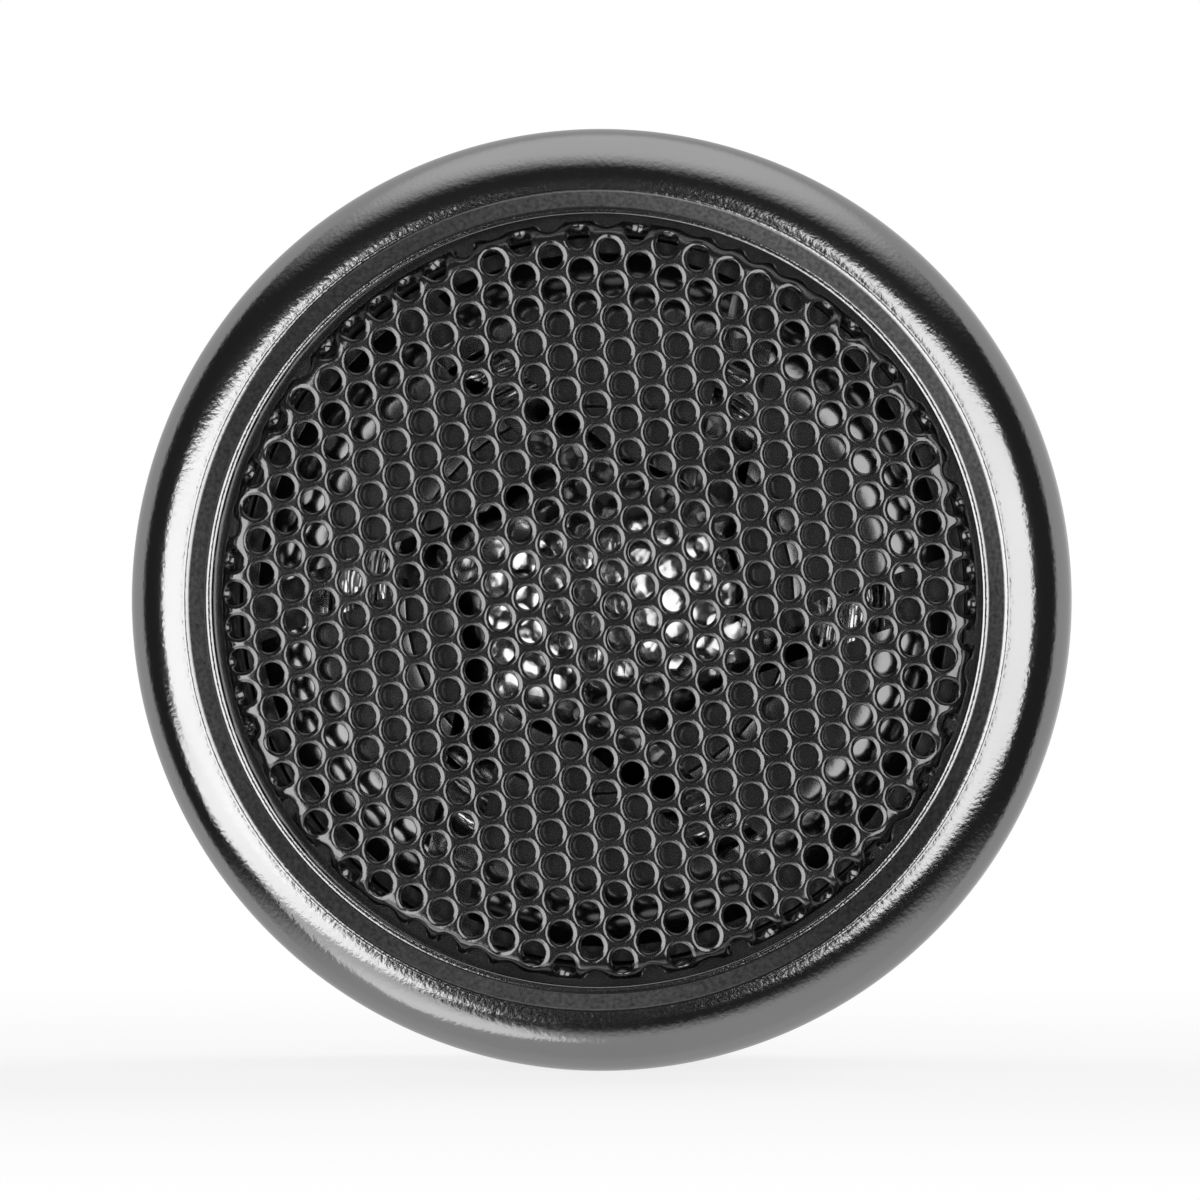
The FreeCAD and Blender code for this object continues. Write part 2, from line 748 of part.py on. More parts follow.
# --- Crossover and terminals ---------------------------------------------------------------------------
def terminal_places():
    """X of the positive and of the negative terminal."""
    return [-terminal_x, terminal_x]


def rivet_holes(low, high):
    """Holes for the two rivets between two heights."""
    hole = rivet_radius + thread_gap
    return [disc(hole, low, high, x, terminal_y) for x in terminal_places()]


def crossover_board():
    """Round board clamped on the cover by the terminals' rivets."""
    body = disc(board_radius, cover_front, board_front)
    cuts = rivet_holes(cover_front, board_front)
    cuts += [
        disc(capacitor_leg / 2 + lead_core_gap, cover_front, board_front, x, capacitor_y)
        for x in capacitor_leg_places()
    ]
    return outward(body.cut(cuts))


def capacitor_leg_places():
    """X of the capacitor's two legs."""
    reach = capacitor_length / 2 + capacitor_leg_reach
    return [-reach, reach]


def capacitor():
    """Non-polar capacitor lying along X on the board."""
    start = Vector(-capacitor_length / 2, capacitor_y, board_front + capacitor_radius)
    body = Part.makeCylinder(capacitor_radius, capacitor_length, start, RIGHT)
    ends = [e for e in body.Edges if len(e.Vertexes) == 1]
    return outward(body.makeFillet(capacitor_round, ends))


def capacitor_legs():
    """Bent wire legs from the capacitor's ends down into the board."""
    legs = []
    level = board_front + capacitor_radius
    for x in capacitor_leg_places():
        side = math.copysign(1, x)
        start = Vector(side * capacitor_length / 2, capacitor_y, level)
        route = [start, Vector(x, capacitor_y, level), Vector(x, capacitor_y, cover_front + lead_core_gap)]
        legs.append(wire_solid(route, [capacitor_leg_bend], capacitor_leg))
    return Part.makeCompound(legs)


def terminal(x, width):
    """Blade terminal: a foot under the rivet and a blade standing out to the rear."""
    half_foot = terminal_foot / 2
    foot_low = cover_back - terminal_sheet
    foot = block(-half_foot, half_foot, -half_foot, half_foot, foot_low, cover_back)
    blade_y = half_foot - terminal_sheet
    blade = block(-width / 2, width / 2, blade_y, half_foot, foot_low - terminal_length, foot_low)
    tip = [e for e in edges_at(blade, foot_low - terminal_length) if e.BoundBox.XLength > width / 2]
    blade = blade.makeChamfer(terminal_tip, tip)
    eye_height = foot_low - terminal_length / 2
    eye = Part.makeCylinder(terminal_hole_radius, 2 * terminal_sheet,
                            Vector(0, blade_y - terminal_sheet / 2, eye_height), Vector(0, 1, 0))
    hole = disc(rivet_radius + thread_gap, foot_low, cover_back)
    piece = foot.fuse(blade).removeSplitter().cut([eye, hole])
    piece.translate(Vector(x, terminal_y, 0))
    return outward(piece)


def terminal_rivets():
    """Tubular rivets through terminal, cover and board."""
    rivets = []
    rear = cover_back - terminal_sheet
    for x in terminal_places():
        shank = disc(rivet_radius, rear, board_front)
        heads = [disc(rivet_head_radius, rear - rivet_head, rear),
                 disc(rivet_head_radius, board_front, board_front + rivet_head)]
        bore = disc(rivet_bore_radius, rear - rivet_head, board_front + rivet_head)
        rivet = shank.fuse(heads).removeSplitter().cut(bore)
        rivet.translate(Vector(x, terminal_y, 0))
        rivets.append(outward(rivet))
    return Part.makeCompound(rivets)


def inner_lead():
    """Insulated lead from a coil tag, round the yoke, to the board."""
    radius = lead_diameter / 2
    start = tag_radius + tag_thickness + radius
    level = shelf_back - lead_tag_lap
    turn_in = yoke_back - service_gap
    route = [
        Vector(start, 0, level),
        Vector(start, 0, turn_in),
        Vector(lead_pad_radius, 0, (turn_in + board_front) / 2),
        Vector(lead_pad_radius, 0, board_front),
    ]
    return wire_solid(route, [lead_bend, lead_bend], lead_diameter)


# --- Write every node --------------------------------------------------------------------------------
os.makedirs("parts", exist_ok=True)

export("front_bezel", front_bezel())
export("grille", grille())
export("petal_guard", petal_guard())
export("flange_gasket", flange_gasket())
export("dome", dome())
export("surround", surround())
export("surround_ring", surround_ring())
export("coil_former", coil_former())
export("voice_coil", voice_coil())
export("motor_frame", motor_frame())
export("pole_plate", pole_plate())
export("magnet", magnet())
export("pot_yoke", pot_yoke())
export("damping_pad", damping_pad())
export("housing", housing())
export("frame_screws", frame_screws())
export("rear_cover", rear_cover())
export("cover_screws", cover_screws())
export("crossover_board", crossover_board())
export("capacitor", capacitor())
export("capacitor_legs", capacitor_legs())
export("terminal_positive", terminal(terminal_places()[0], positive_width))
export("terminal_negative", terminal(terminal_places()[1], negative_width))
export("terminal_rivets", terminal_rivets())

# The positive side of the coil and its lead lie at -X, the negative side at +X.
for side, angle in (("negative", 0), ("positive", 2 * QUARTER)):
    export("coil_lead_" + side, turned(coil_lead(), angle))
    export("coil_tag_" + side, turned(coil_tag(), angle))
    export("inner_lead_" + side, turned(inner_lead(), angle))

for number, clip in enumerate(around(spring_clip(), clip_count, clip_start_angle), 1):
    export("spring_clip_" + str(number), clip)
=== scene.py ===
import json
import math

import bmesh
import bpy
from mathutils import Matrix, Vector, noise

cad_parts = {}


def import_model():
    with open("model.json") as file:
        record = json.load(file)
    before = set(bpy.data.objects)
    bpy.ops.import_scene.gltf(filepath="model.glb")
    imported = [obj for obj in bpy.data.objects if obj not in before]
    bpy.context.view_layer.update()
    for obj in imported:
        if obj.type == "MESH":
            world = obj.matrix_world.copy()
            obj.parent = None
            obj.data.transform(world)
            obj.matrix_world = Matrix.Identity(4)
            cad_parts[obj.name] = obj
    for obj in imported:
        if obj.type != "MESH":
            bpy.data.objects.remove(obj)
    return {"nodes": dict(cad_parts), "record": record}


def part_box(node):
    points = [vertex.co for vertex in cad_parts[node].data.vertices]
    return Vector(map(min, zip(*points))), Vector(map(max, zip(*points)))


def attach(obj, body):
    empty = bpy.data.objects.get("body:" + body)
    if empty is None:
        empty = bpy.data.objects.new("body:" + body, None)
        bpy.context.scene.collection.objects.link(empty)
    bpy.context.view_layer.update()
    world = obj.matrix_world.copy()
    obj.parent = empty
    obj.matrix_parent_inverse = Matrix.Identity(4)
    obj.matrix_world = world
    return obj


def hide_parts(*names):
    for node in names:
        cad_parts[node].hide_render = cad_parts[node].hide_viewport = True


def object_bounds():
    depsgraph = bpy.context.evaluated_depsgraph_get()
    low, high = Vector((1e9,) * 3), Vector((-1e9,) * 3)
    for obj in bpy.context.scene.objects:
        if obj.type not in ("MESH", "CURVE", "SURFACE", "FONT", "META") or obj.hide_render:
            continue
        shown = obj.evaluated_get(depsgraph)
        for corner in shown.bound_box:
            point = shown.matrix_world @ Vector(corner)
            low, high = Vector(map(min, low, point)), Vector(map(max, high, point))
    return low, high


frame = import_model()
cad_low, cad_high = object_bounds()

# Looks of a flush-mounted car tweeter.  Sizes below are in millimetres; "height" is the
# distance from the trim panel towards the listener, so a height h lies at Y = -h.
MM = 0.001
SPEAKER = "speaker_body"
MOVING = "diaphragm"


# --- Places read from the frame --------------------------------------------------------
def front_of(node):
    """Height of a node's foremost point."""
    return -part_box(node)[0].y / MM


def back_of(node):
    """Height of a node's rearmost point."""
    return -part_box(node)[1].y / MM


def reach_of(node):
    """Largest X of a node, which is its outer radius."""
    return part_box(node)[1].x / MM


bezel_radius = reach_of("front_bezel")
crest_height = front_of("front_bezel")
bezel_back = back_of("front_bezel")
grille_top = front_of("grille")
flange_top = back_of("grille")
grille_flange_radius = reach_of("grille")
guard_top = front_of("petal_guard")
guard_back = back_of("petal_guard")
guard_radius = reach_of("petal_guard")
film_back = back_of("dome")
dome_crown = front_of("dome")
dome_seat_radius = reach_of("dome")
rim_radius = reach_of("surround")
gasket_outer_radius = reach_of("flange_gasket")
gasket_front = front_of("flange_gasket")

# --- Sizes and step counts that the frame's boxes don't hold ------------------------------
bezel_crest_radius = 18.26
bezel_mouth_radius = 17.2
bezel_crown = 2.4
bezel_chamfer_drop = 0.61
bezel_bead_height = 0.045
bezel_crest_round = 0.45
bezel_lip_radius = 17.5      # where the darker band ends and the bright bead starts
dark_band_margin = 0.12         # how far inside the crest the darker band starts
dark_band_outer_fade = 0.10
dark_band_inner_fade = 0.03
dark_band_roughness = 0.42
bezel_lip_step = 0.02
bezel_skirt_round = 0.12
bezel_skirt_radius = 20.1
bezel_steps = 320
rebate_slip = 0.05           # between the bezel's rebate and the grille's flange
grille_sheet = 0.5
grille_radius = 16.9
grille_bend = 0.9
grille_skirt = 0.3           # straight stretch of the grille's edge below its bend
grille_flange_steps = 160
hole_pitch = 1.5
hole_rollover = 0.05         # how deep the punched edge of a hole is rounded over
hole_lean = 0.025            # how far the punch leant to the left by then
hole_row_angle = 35.8
hole_shift_x = -0.53
hole_shift_y = 0.37
petal_count = 6
petal_thickness = 0.8
petal_mouth_radius = 6.4
petal_step_radius = 8.65
petal_step_depth = 0.15
petal_slot_width = 2.2
petal_slot_offset = 4.3
petal_slot_angle = 79.0
petal_steps = 26
# Radii that only divide the petals' flat faces, so that these bend round the axis.
petal_low_division = 7.5
petal_top_divisions = (9.6, 10.8)
petal_under_divisions = (10.4, 8.4)
guard_rim_slip = 0.25        # between the film's rim and the guard round it
guard_steps = 200
guard_shoulder_start = 12.3
guard_shoulder_end = 15.5
guard_shoulder_drop = 1.8
guard_inner_radius = 13.4
guard_inner_round = 1.2
film = 0.15
film_steps = 288
dome_rings = 84
dome_crease = 0.055
surround_crease = 0.09
rim_width = 0.6
dome_radius = 10.0
dome_height = 3.2
crown_press = 0.25           # how much flatter the film lies at the middle of the dome
crown_press_radius = 3.0
roll_start_radius = 10.35
roll_radius = 1.1
gasket_inner_radius = 19.3
gasket_round = 0.25
gasket_steps = 360
gasket_ripple = 0.05
ripple_rate_around = 1.4     # ripples of the foam's sides per millimetre
ripple_rate_along = 2.0
edge_round = 0.08

# --- Mesh limits, in metres and degrees -------------------------------------------------------
weld_distance = 1e-7
cad_weld_distance = 2e-7
cad_flat_angle = 0.6
cad_sharp_angle = 30
cad_bevel_angle = 38


# --- Mesh helpers -------------------------------------------------------------------------
def spot(x, up, height):
    """A point of the scene, in metres, from millimetres right, up and towards the listener."""
    return Vector((x, -height, up)) * MM


def arc(centre, radius, start, end, steps):
    """Points of a circular arc in the (radius, height) plane, angles in degrees."""
    points = []
    for k in range(steps + 1):
        turn = math.radians(start + (end - start) * k / steps)
        points.append((centre[0] + radius * math.cos(turn), centre[1] + radius * math.sin(turn)))
    return points


def quarter_ellipse(centre, across, high, steps):
    """Points from (centre + across) up to (centre + high)."""
    points = []
    for k in range(steps + 1):
        turn = math.pi / 2 * k / steps
        points.append((centre[0] + across * math.cos(turn), centre[1] + high * math.sin(turn)))
    return points


def tidy(mesh, sharp_angle):
    """Weld the mesh, turn its faces outwards and mark its sharp edges."""
    work = bmesh.new()
    work.from_mesh(mesh)
    bmesh.ops.remove_doubles(work, verts=work.verts, dist=weld_distance)
    bmesh.ops.dissolve_degenerate(work, dist=weld_distance, edges=work.edges)
    bmesh.ops.recalc_face_normals(work, faces=work.faces)
    work.to_mesh(mesh)
    work.free()
    mesh.shade_smooth()
    mesh.set_sharp_from_angle(angle=math.radians(sharp_angle))


def add_object(name, verts, faces, sharp_angle):
    """A new object in the scene from points and faces."""
    mesh = bpy.data.meshes.new(name)
    mesh.from_pydata([tuple(v) for v in verts], [], faces)
    tidy(mesh, sharp_angle)
    piece = bpy.data.objects.new(name, mesh)
    bpy.context.scene.collection.objects.link(piece)
    return piece


def lathe_mesh(profile, steps):
    """Points and faces of a closed (radius, height) outline turned about the axis."""
    verts = []
    faces = []
    count = len(profile)
    for k in range(steps):
        turn = 2 * math.pi * k / steps
        verts += [spot(r * math.cos(turn), r * math.sin(turn), h) for r, h in profile]
    for k in range(steps):
        near = k * count
        far = (k + 1) % steps * count
        for i in range(count):
            j = (i + 1) % count
            faces.append((near + i, near + j, far + j, far + i))
    return verts, faces


def lathe(name, profile, steps, sharp_angle):
    """An object of revolution about the speaker's axis."""
    verts, faces = lathe_mesh(profile, steps)
    return add_object(name, verts, faces, sharp_angle)


def place(piece, body, slot, material, *nodes):
    """Give a piece its finish, its body and the nodes that it stands for."""
    piece.data.materials.clear()
    piece.data.materials.append(material)
    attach(piece, body)
    if nodes:
        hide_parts(*nodes)
    return piece


# --- Material helpers ------------------------------------------------------------------------
def start_material(name, **values):
    """A Principled material with the given socket values, its shader and its coordinates."""
    material = bpy.data.materials.new(name)
    material.use_nodes = True
    nodes = material.node_tree.nodes
    shader = nodes["Principled BSDF"]
    for socket, value in values.items():
        shader.inputs[socket.replace("_", " ")].default_value = value
    where = nodes.new("ShaderNodeTexCoord").outputs["Object"]
    return material, shader, where


def texture(material, where, kind, scale, stretch=None, **values):
    """A procedural texture node on object coordinates, in metres."""
    tree = material.node_tree
    node = tree.nodes.new(kind)
    node.inputs["Scale"].default_value = scale
    for socket, value in values.items():
        node.inputs[socket].default_value = value
    if stretch is not None:
        mapping = tree.nodes.new("ShaderNodeMapping")
        mapping.inputs["Scale"].default_value = stretch
        tree.links.new(where, mapping.inputs["Vector"])
        where = mapping.outputs["Vector"]
    tree.links.new(where, node.inputs["Vector"])
    return node


def ramp(material, factor, stops):
    """A colour ramp of (position, grey or colour) stops."""
    node = material.node_tree.nodes.new("ShaderNodeValToRGB")
    while len(node.color_ramp.elements) < len(stops):
        node.color_ramp.elements.new(0.5)
    for element, (position, colour) in zip(node.color_ramp.elements, stops):
        element.position = position
        grey = (colour, colour, colour) if isinstance(colour, float) else colour
        element.color = (*grey, 1.0)
    material.node_tree.links.new(factor, node.inputs["Fac"])
    return node.outputs["Color"]


def spread(material, factor, low, high):
    """Map a 0 to 1 factor onto a range."""
    node = material.node_tree.nodes.new("ShaderNodeMapRange")
    node.inputs["To Min"].default_value = low
    node.inputs["To Max"].default_value = high
    material.node_tree.links.new(factor, node.inputs["Value"])
    return node.outputs["Result"]


def add_bump(material, shader, height, depth, strength=1.0, before=None):
    """Bump of a given depth in metres, on top of an earlier bump if there is one."""
    node = material.node_tree.nodes.new("ShaderNodeBump")
    node.inputs["Distance"].default_value = depth
    node.inputs["Strength"].default_value = strength
    material.node_tree.links.new(height, node.inputs["Height"])
    if before is not None:
        material.node_tree.links.new(before.outputs["Normal"], node.inputs["Normal"])
    material.node_tree.links.new(node.outputs["Normal"], shader.inputs["Normal"])
    return node


def link(material, output, socket):
    """Join an output to a socket."""
    material.node_tree.links.new(output, socket)


def paint(material, shader, factor, stops):
    """Base colour from a ramp of (position, grey or colour) stops."""
    link(material, ramp(material, factor, stops), shader.inputs["Base Color"])


def roughen(material, shader, factor, low, high):
    """Roughness that wanders between two values."""
    link(material, spread(material, factor, low, high), shader.inputs["Roughness"])


def radius_factor(material, where, start, end):
    """0 at a start radius and 1 at an end radius, in millimetres from the speaker's axis."""
    tree = material.node_tree
    across = tree.nodes.new("ShaderNodeVectorMath")
    across.operation = "MULTIPLY"
    across.inputs[1].default_value = (1.0, 0.0, 1.0)
    length = tree.nodes.new("ShaderNodeVectorMath")
    length.operation = "LENGTH"
    reach = tree.nodes.new("ShaderNodeMapRange")
    reach.inputs["From Min"].default_value = start * MM
    reach.inputs["From Max"].default_value = end * MM
    tree.links.new(where, across.inputs[0])
    tree.links.new(across.outputs["Vector"], length.inputs[0])
    tree.links.new(length.outputs["Value"], reach.inputs["Value"])
    return reach.outputs["Result"]


def mixed(material, factor, low, high):
    """Low at factor 0 and high at factor 1, each a value or a socket."""
    node = material.node_tree.nodes.new("ShaderNodeMix")
    node.data_type = "FLOAT"
    link(material, factor, node.inputs[0])
    for value, socket in ((low, node.inputs[2]), (high, node.inputs[3])):
        if isinstance(value, float):
            socket.default_value = value
        else:
            link(material, value, socket)
    return node.outputs[0]


# --- Materials ---------------------------------------------------------------------------------
def dark_chrome():
    """Dark bright plating with a fine orange peel, and a darker, rougher band on the inner chamfer."""
    material, shader, where = start_material("dark_chrome", Metallic=1.0)
    dark_band_edge = bezel_crest_radius - dark_band_margin
    outside = radius_factor(material, where, dark_band_edge, dark_band_edge + dark_band_outer_fade)
    lip = radius_factor(material, where, bezel_lip_radius + dark_band_inner_fade, bezel_lip_radius)
    larger = material.node_tree.nodes.new("ShaderNodeMath")
    larger.operation = "MAXIMUM"
    link(material, outside, larger.inputs[0])
    link(material, lip, larger.inputs[1])
    bright = larger.outputs["Value"]
    cloud = texture(material, where, "ShaderNodeTexNoise", 160.0, Detail=3.0)
    grain = texture(material, where, "ShaderNodeTexNoise", 5200.0, Detail=2.0)
    plated = spread(material, cloud.outputs["Fac"], 0.35, 0.40)
    # darker band on the inner chamfer: metal colour 0.02 to 0.22 and roughness 0.42, against 0.35 to 0.40
    # on the rest of the plating
    dark_band = spread(material, grain.outputs["Fac"], 0.02, 0.22)
    link(material, mixed(material, bright, dark_band, plated), shader.inputs["Base Color"])
    smooth = spread(material, grain.outputs["Fac"], 0.10, 0.18)
    link(material, mixed(material, bright, dark_band_roughness, smooth), shader.inputs["Roughness"])
    peel = add_bump(material, shader, grain.outputs["Fac"], 0.000016, 0.55)
    wave = texture(material, where, "ShaderNodeTexNoise", 900.0, Detail=1.0)
    add_bump(material, shader, wave.outputs["Fac"], 0.000008, 0.5, peel)
    return material


def black_enamel():
    """Gloss enamel on the punched sheet."""
    material, shader, where = start_material("black_enamel", IOR=2.4)
    cloud = texture(material, where, "ShaderNodeTexNoise", 420.0, Detail=3.0)
    paint(material, shader, cloud.outputs["Fac"], [(0.3, 0.008), (0.7, 0.014)])
    roughen(material, shader, cloud.outputs["Fac"], 0.13, 0.19)
    grain = texture(material, where, "ShaderNodeTexNoise", 6000.0, Detail=2.0)
    add_bump(material, shader, grain.outputs["Fac"], 0.000010, 0.5)
    return material


def gloss_black():
    """Polished black moulding of the guard."""
    material, shader, where = start_material("gloss_black", IOR=2.7)
    cloud = texture(material, where, "ShaderNodeTexNoise", 240.0, Detail=3.0)
    paint(material, shader, cloud.outputs["Fac"], [(0.3, 0.005), (0.7, 0.009)])
    roughen(material, shader, cloud.outputs["Fac"], 0.13, 0.19)
    grain = texture(material, where, "ShaderNodeTexNoise", 2500.0, Detail=2.0)
    add_bump(material, shader, grain.outputs["Fac"], 0.000008, 0.5)
    return material


def metallised_film():
    """Thin bright film with fine crinkles."""
    material, shader, where = start_material("metallised_film", Metallic=1.0)
    cells = texture(material, where, "ShaderNodeTexVoronoi", 1500.0)
    paint(material, shader, cells.outputs["Distance"], [(0.0, 0.60), (0.9, 0.45)])
    cloud = texture(material, where, "ShaderNodeTexNoise", 900.0, Detail=3.0)
    roughen(material, shader, cloud.outputs["Fac"], 0.08, 0.20)
    add_bump(material, shader, cells.outputs["Distance"], 0.000030, 0.6)
    return material


def black_plastic():
    """Spark-eroded black moulding."""
    material, shader, where = start_material("black_plastic")
    cloud = texture(material, where, "ShaderNodeTexNoise", 130.0, Detail=4.0)
    paint(material, shader, cloud.outputs["Fac"], [(0.3, 0.020), (0.7, 0.038)])
    grain = texture(material, where, "ShaderNodeTexNoise", 3200.0, Detail=3.0)
    roughen(material, shader, grain.outputs["Fac"], 0.30, 0.60)
    add_bump(material, shader, grain.outputs["Fac"], 0.000090, 1.0)
    return material


def foam():
    """Closed-cell foam with a dull skin: its small cells sink in the bump, with painted shade darkening
    each cell's middle.
    """
    material, shader, where = start_material("foam", Roughness=0.95)
    cells = texture(material, where, "ShaderNodeTexVoronoi", 3200.0)
    # painted shade: colour darker at each cell's middle, where the bump makes a pit
    paint(material, shader, cells.outputs["Distance"], [(0.1, 0.022), (0.8, 0.075)])
    add_bump(material, shader, cells.outputs["Distance"], 0.000090, 0.8)
    return material


def metal(name, dark, light, rough_low, rough_high, stretch=None, scale=1400.0, depth=0.000012):
    """Bare or plated metal with a grain, brushed one way if stretched."""
    material, shader, where = start_material(name, Metallic=1.0)
    cloud = texture(material, where, "ShaderNodeTexNoise", 260.0, Detail=4.0)
    paint(material, shader, cloud.outputs["Fac"], [(0.3, dark), (0.7, light)])
    grain = texture(material, where, "ShaderNodeTexNoise", scale, stretch, Detail=3.0)
    roughen(material, shader, grain.outputs["Fac"], rough_low, rough_high)
    add_bump(material, shader, grain.outputs["Fac"], depth, 0.5)
    return material


def winding():
    """Fine enamelled wire laid in turns along the axis, with painted shade in the grooves between turns."""
    material, shader, where = start_material("copper_wire", Metallic=1.0, Roughness=0.3)
    turns = texture(material, where, "ShaderNodeTexWave", 2200.0, Distortion=0.0)
    turns.bands_direction = "Y"
    # painted shade: the copper is darker in the grooves between turns, where the bump is low
    copper_and_groove_shade = [(0.0, (0.30, 0.11, 0.05)), (1.0, (0.75, 0.36, 0.18))]
    paint(material, shader, turns.outputs["Fac"], copper_and_groove_shade)
    add_bump(material, shader, turns.outputs["Fac"], 0.000030)
    return material


def fibrous(name, dark, light, scale, depth, roughness):
    """Felt, paper laminate and other matted fibres."""
    material, shader, where = start_material(name, Roughness=roughness)
    strands = texture(material, where, "ShaderNodeTexNoise", scale, (1.0, 1.0, 5.0), Detail=5.0)
    paint(material, shader, strands.outputs["Fac"], [(0.3, dark), (0.7, light)])
    add_bump(material, shader, strands.outputs["Fac"], depth, 0.7)
    return material


def sleeve(name, dark, light, roughness):
    """Smooth coloured plastic skin, on leads and on the capacitor."""
    material, shader, where = start_material(name, Roughness=roughness)
    cloud = texture(material, where, "ShaderNodeTexNoise", 300.0, Detail=3.0)
    paint(material, shader, cloud.outputs["Fac"], [(0.3, dark), (0.7, light)])
    grain = texture(material, where, "ShaderNodeTexNoise", 2600.0, Detail=2.0)
    add_bump(material, shader, grain.outputs["Fac"], 0.000010, 0.5)
    return material


ALONG_Y = (6.0, 0.3, 6.0)
FINISH = {
    "dark_chrome": dark_chrome(),
    "black_steel": black_enamel(),
    "gloss_black": gloss_black(),
    "foam": foam(),
    "metallised_film": metallised_film(),
    "board": fibrous("board", (0.30, 0.19, 0.09), (0.46, 0.32, 0.17), 900.0, 0.000020, 0.6),
    "black_plastic": black_plastic(),
    "zinc_steel": metal("zinc_steel", (0.50, 0.50, 0.49), (0.66, 0.65, 0.60), 0.25, 0.42),
    "magnet": metal("magnet", (0.50, 0.49, 0.47), (0.60, 0.59, 0.57), 0.15, 0.25),
    "felt": fibrous("felt", 0.05, 0.13, 1500.0, 0.000120, 0.95),
    "screw_steel": metal("screw_steel", (0.42, 0.42, 0.43), (0.58, 0.58, 0.58), 0.22, 0.38),
    "capacitor_sleeve": sleeve("capacitor_sleeve", (0.03, 0.06, 0.20), (0.05, 0.09, 0.28), 0.3),
    "tinned_copper": metal("tinned_copper", (0.60, 0.59, 0.57), (0.72, 0.71, 0.68), 0.25, 0.4),
    "tinned_brass": metal(
        "tinned_brass", (0.62, 0.61, 0.57), (0.76, 0.74, 0.70), 0.22, 0.38, ALONG_Y, 700.0
    ),
    "brass": metal("brass", (0.58, 0.42, 0.18), (0.76, 0.58, 0.28), 0.2, 0.36),
    "aluminium_foil": metal("aluminium_foil", (0.68, 0.68, 0.69), (0.80, 0.80, 0.81), 0.2, 0.3),
    "copper_wire": winding(),
    "lead_red": sleeve("lead_red", (0.36, 0.02, 0.015), (0.48, 0.04, 0.03), 0.4),
    "lead_black": sleeve("lead_black", 0.018, 0.03, 0.4),
    "spring_steel": metal("spring_steel", (0.40, 0.39, 0.37), (0.56, 0.55, 0.52), 0.2, 0.4, ALONG_Y, 600.0),
}
for entry in frame["record"]["subparts"]:
    node = frame["nodes"][entry["node"]]
    node.data.materials.clear()
    node.data.materials.append(FINISH[entry["material_slot"]])


# --- Camera ----------------------------------------------------------------------------------------
camera_azimuth = 5.0
camera_elevation = 0.4
camera_distance = 0.62
framed_width = 0.0535      # how much of the scene's width the picture takes in
camera_data = bpy.data.cameras.new("camera")
camera_data.sensor_width = 36.0
camera_data.lens = camera_data.sensor_width * camera_distance / framed_width
camera = bpy.data.objects.new("camera", camera_data)
bpy.context.scene.collection.objects.link(camera)
target = spot(0, 0, flange_top)
swing = math.radians(camera_azimuth)
lift = math.radians(camera_elevation)
direction = Vector((math.sin(swing) * math.cos(lift), -math.cos(swing) * math.cos(lift), math.sin(lift)))
camera.location = target + direction * camera_distance
camera.rotation_euler = (-direction).to_track_quat("-Z", "Y").to_euler()
bpy.context.scene.camera = camera


# --- Bezel -------------------------------------------------------------------------------------------
def bezel():
    """Plated ring: rounded outside, crest, inner chamfer and a low bead round the mouth."""
    slope_base = crest_height - bezel_crown
    mouth_height = crest_height - bezel_chamfer_drop
    run = bezel_crest_radius - bezel_mouth_radius
    tilt = math.atan2(bezel_chamfer_drop, run)
    crest_trim = bezel_crest_round * math.tan(tilt / 2)
    across = bezel_radius - bezel_crest_radius
    skirt_centre = (bezel_radius - bezel_skirt_round, bezel_back + bezel_skirt_round)
    slope = quarter_ellipse((bezel_crest_radius, slope_base), across, bezel_crown, 64)
    profile = [(bezel_skirt_radius, bezel_back)]
    profile += arc(skirt_centre, bezel_skirt_round, -90, 0, 6)
    profile += [point for point in slope if point[0] > bezel_crest_radius + crest_trim]
    crest_centre = (bezel_crest_radius + crest_trim, crest_height - bezel_crest_round)
    profile += arc(crest_centre, bezel_crest_round, 90, 90 + math.degrees(tilt), 8)
    chamfer_end = bezel_lip_radius + bezel_lip_step
    profile.append((chamfer_end, mouth_height + (chamfer_end - bezel_mouth_radius) * math.tan(tilt)))
    bead_middle = (bezel_lip_radius + bezel_mouth_radius) / 2
    bead_half = (bezel_lip_radius - bezel_mouth_radius) / 2
    for degrees in range(0, 181, 15):
        turn = math.radians(degrees)
        rise = bezel_bead_height * (1 + math.sin(turn))
        profile.append((bead_middle + bead_half * math.cos(turn), mouth_height + rise))
    rebate_top = flange_top + grille_sheet
    rebate_radius = grille_flange_radius + rebate_slip
    profile += [
        (bezel_mouth_radius, rebate_top),
        (rebate_radius, rebate_top),
        (rebate_radius, flange_top),
        (bezel_skirt_radius, flange_top),
    ]
    piece = lathe("bezel_ring", profile, bezel_steps, 40)
    return place(piece, SPEAKER, "dark_chrome", FINISH["dark_chrome"], "front_bezel")


# --- Grille ------------------------------------------------------------------------------------------
CELL_POINTS = 24
# Radius of each ring of a cell and its depth below the sheet's face: a shallow punched
# rollover, a sharp edge, a straight wall and a small break-out at the back.
CELL_RINGS = [
    (0.720, 0.000), (0.695, 0.002), (0.670, 0.0065), (0.645, 0.0135), (0.620, 0.0225), (0.595, 0.033),
    (0.560, 0.048), (0.545, 0.056), (0.520, 0.110), (0.517, 0.430), (0.540, 0.475), (0.570, 0.500),
]


grille_flat_radius = grille_radius - grille_bend
grille_neutral = grille_bend - grille_sheet / 2
# Radius that the flat sheet is cut to before its edge is bent.
blank_radius = grille_flat_radius + grille_neutral * math.pi / 2 + grille_skirt


def formed(x, y, depth):
    """Where a point of the flat sheet lies once the edge is bent down."""
    radius = math.hypot(x, y)
    if radius <= grille_flat_radius:
        return spot(x, y, grille_top - depth)
    turn = min((radius - grille_flat_radius) / grille_neutral, math.pi / 2)
    drop = max(0.0, radius - grille_flat_radius - grille_neutral * math.pi / 2)
    out = grille_flat_radius + (grille_bend - depth) * math.sin(turn)
    height = grille_top - grille_bend + (grille_bend - depth) * math.cos(turn) - drop
    return spot(x / radius * out, y / radius * out, height)


